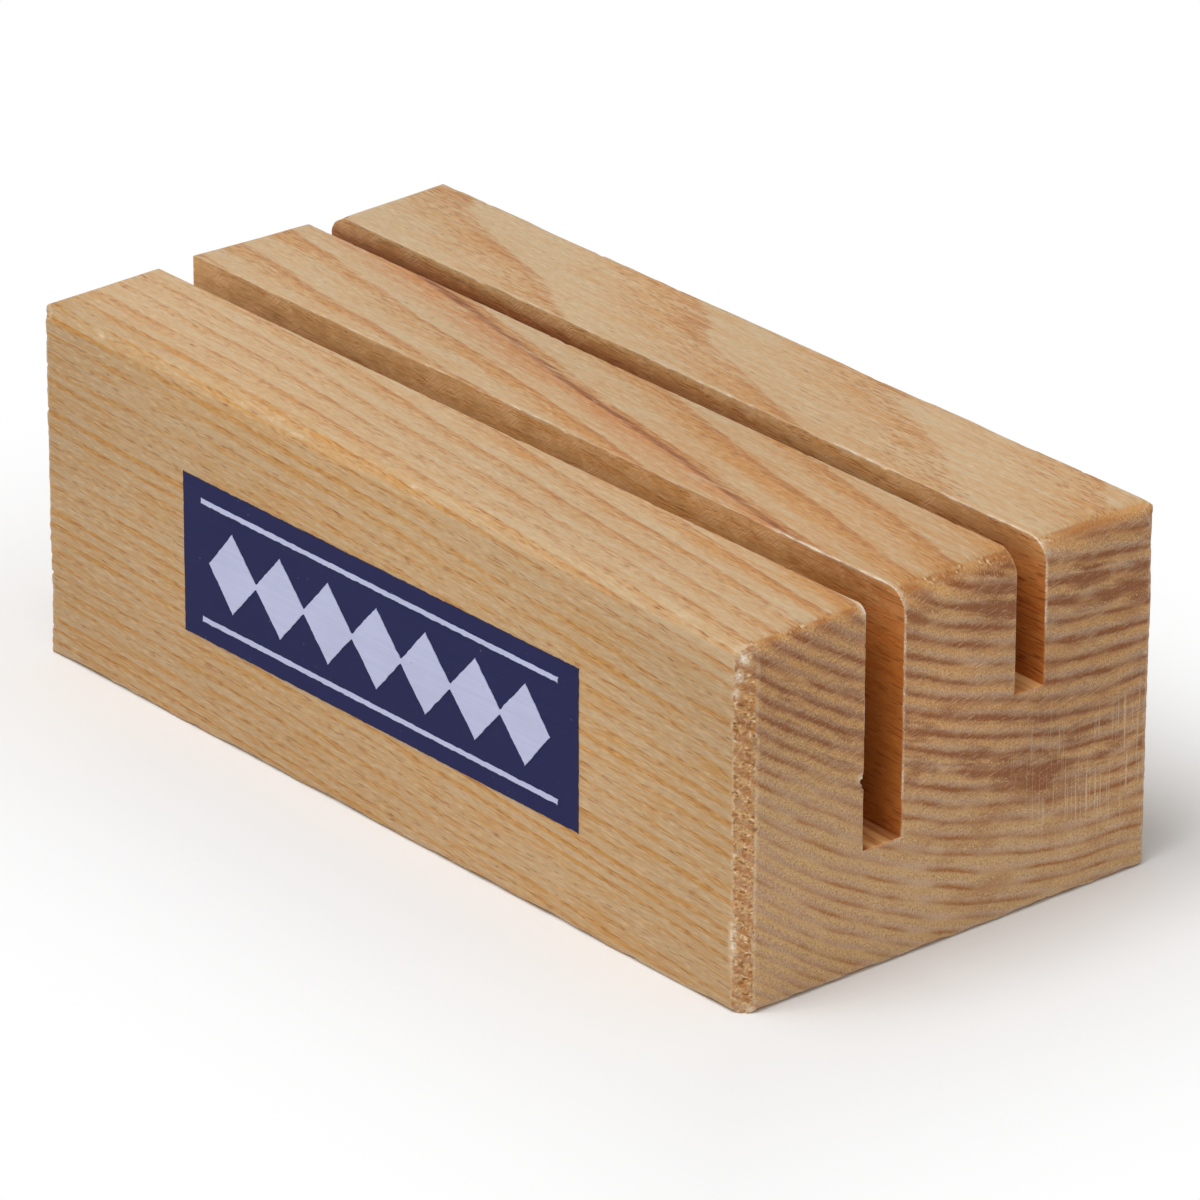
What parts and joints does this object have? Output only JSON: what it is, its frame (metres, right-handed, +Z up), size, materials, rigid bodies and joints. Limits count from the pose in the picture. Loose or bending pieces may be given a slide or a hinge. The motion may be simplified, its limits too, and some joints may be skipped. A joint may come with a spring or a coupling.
{
  "type": "wooden card holder",
  "caption": "Solid wooden block with a wide deep slot and a narrow shallow slot along its length, to stand cards or menu boards upright on a table, with a printed panel on its front.",
  "frame": {"origin": "middle of the base, on the surface that the block stands on", "axes": "+X along the slots, +Y from the printed front to the back, +Z up"},
  "size_m": [0.145, 0.0708, 0.051],
  "materials": {
    "ash_wood": "clear lacquered, satin",
    "navy_ink": "matt screen print",
    "pale_ink": "matt screen print"
  },
  "bodies": {
    "root": {"holder_block": "ash_wood", "print_ground": "navy_ink", "print_rule_upper": "pale_ink", "print_rule_lower": "pale_ink", "print_lozenge_row": "pale_ink"}
  },
  "joints": []
}
